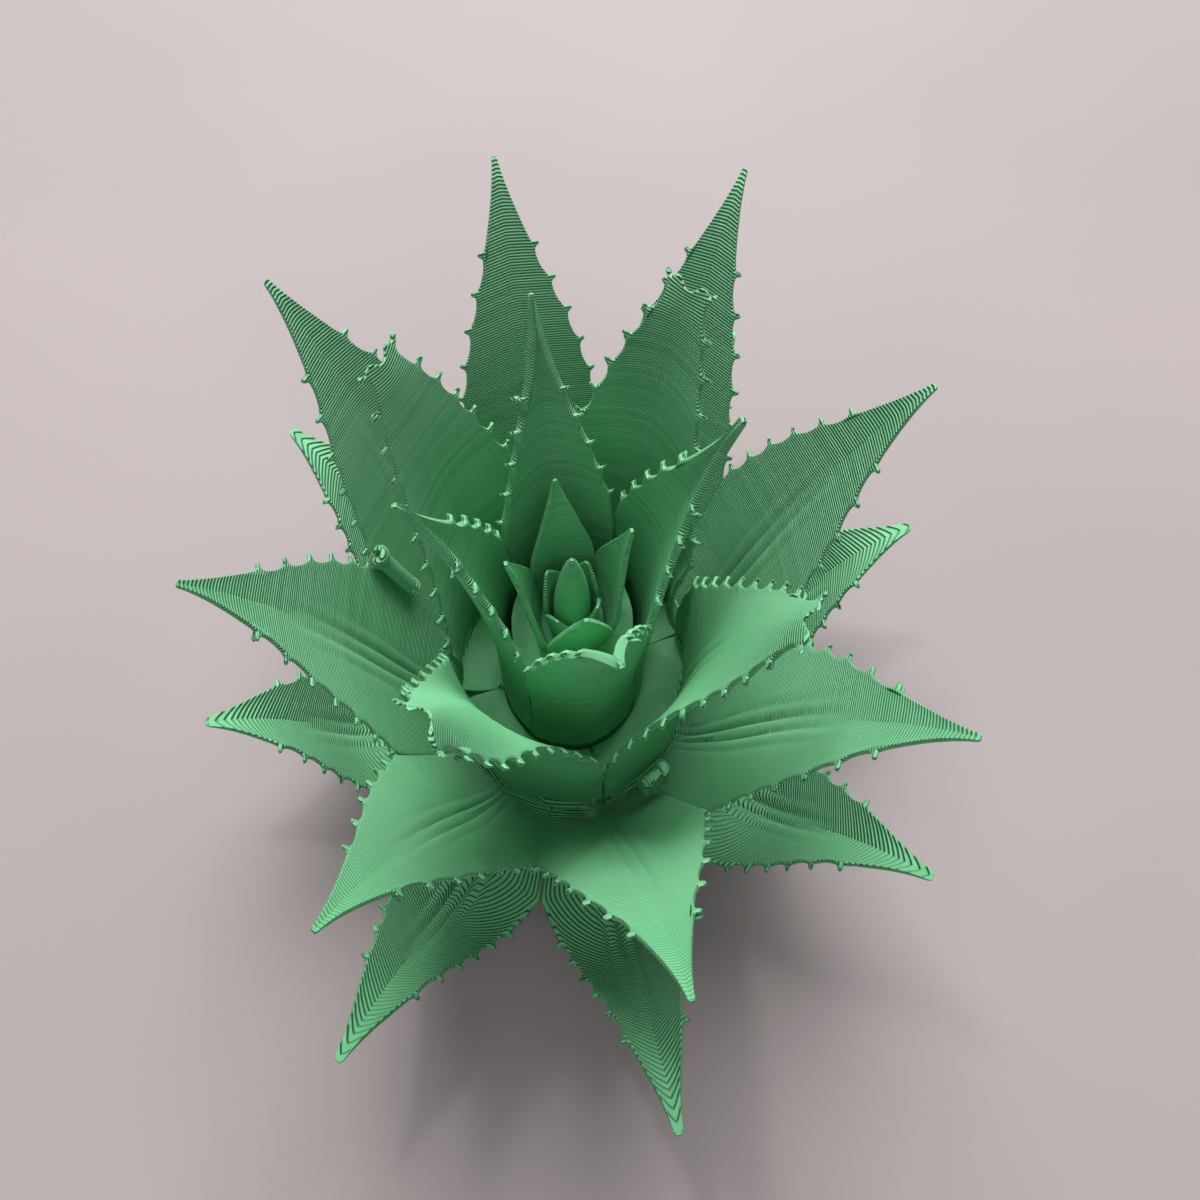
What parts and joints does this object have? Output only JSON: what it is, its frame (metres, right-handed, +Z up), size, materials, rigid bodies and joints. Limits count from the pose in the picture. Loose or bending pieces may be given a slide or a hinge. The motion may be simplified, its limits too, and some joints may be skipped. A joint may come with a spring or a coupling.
{
  "type": "printed agave rosette",
  "caption": "Table ornament shaped like an agave: whorls of toothed pointed leaves around a bud, printed in matte green plastic, standing on its core.",
  "frame": {"origin": "middle of the core's flat underside, on the surface the rosette stands on", "axes": "+Z up out of the table, -Y towards the picture's viewer, +X to the viewer's right; the rosette leans slightly back towards +Y"},
  "size_m": [0.1151, 0.1448, 0.0741],
  "materials": {
    "green_print": "matte with fine print layers"
  },
  "bodies": {
    "root": {"core": "green_print", "bud": "green_print", "ground_leaf_1": "green_print", "ground_leaf_2": "green_print", "ground_leaf_3": "green_print", "ground_leaf_4": "green_print", "ground_leaf_5": "green_print", "ground_leaf_6": "green_print", "ground_leaf_7": "green_print", "ground_leaf_8": "green_print", "rising_leaf_1": "green_print", "rising_leaf_2": "green_print", "rising_leaf_3": "green_print", "rising_leaf_4": "green_print", "rising_leaf_5": "green_print", "rising_leaf_6": "green_print", "rising_leaf_7": "green_print", "rising_leaf_8": "green_print", "blunt_leaf_1": "green_print", "blunt_leaf_2": "green_print", "blunt_leaf_3": "green_print", "blunt_leaf_4": "green_print", "inner_leaf_1": "green_print", "inner_leaf_2": "green_print", "inner_leaf_3": "green_print", "inner_leaf_4": "green_print", "heart_leaf_1": "green_print", "heart_leaf_2": "green_print", "heart_leaf_3": "green_print", "heart_leaf_4": "green_print", "sheath_leaf_1": "green_print", "sheath_leaf_2": "green_print", "sheath_leaf_3": "green_print", "sheath_leaf_4": "green_print", "stub_left": "green_print", "stub_right": "green_print"}
  },
  "joints": []
}
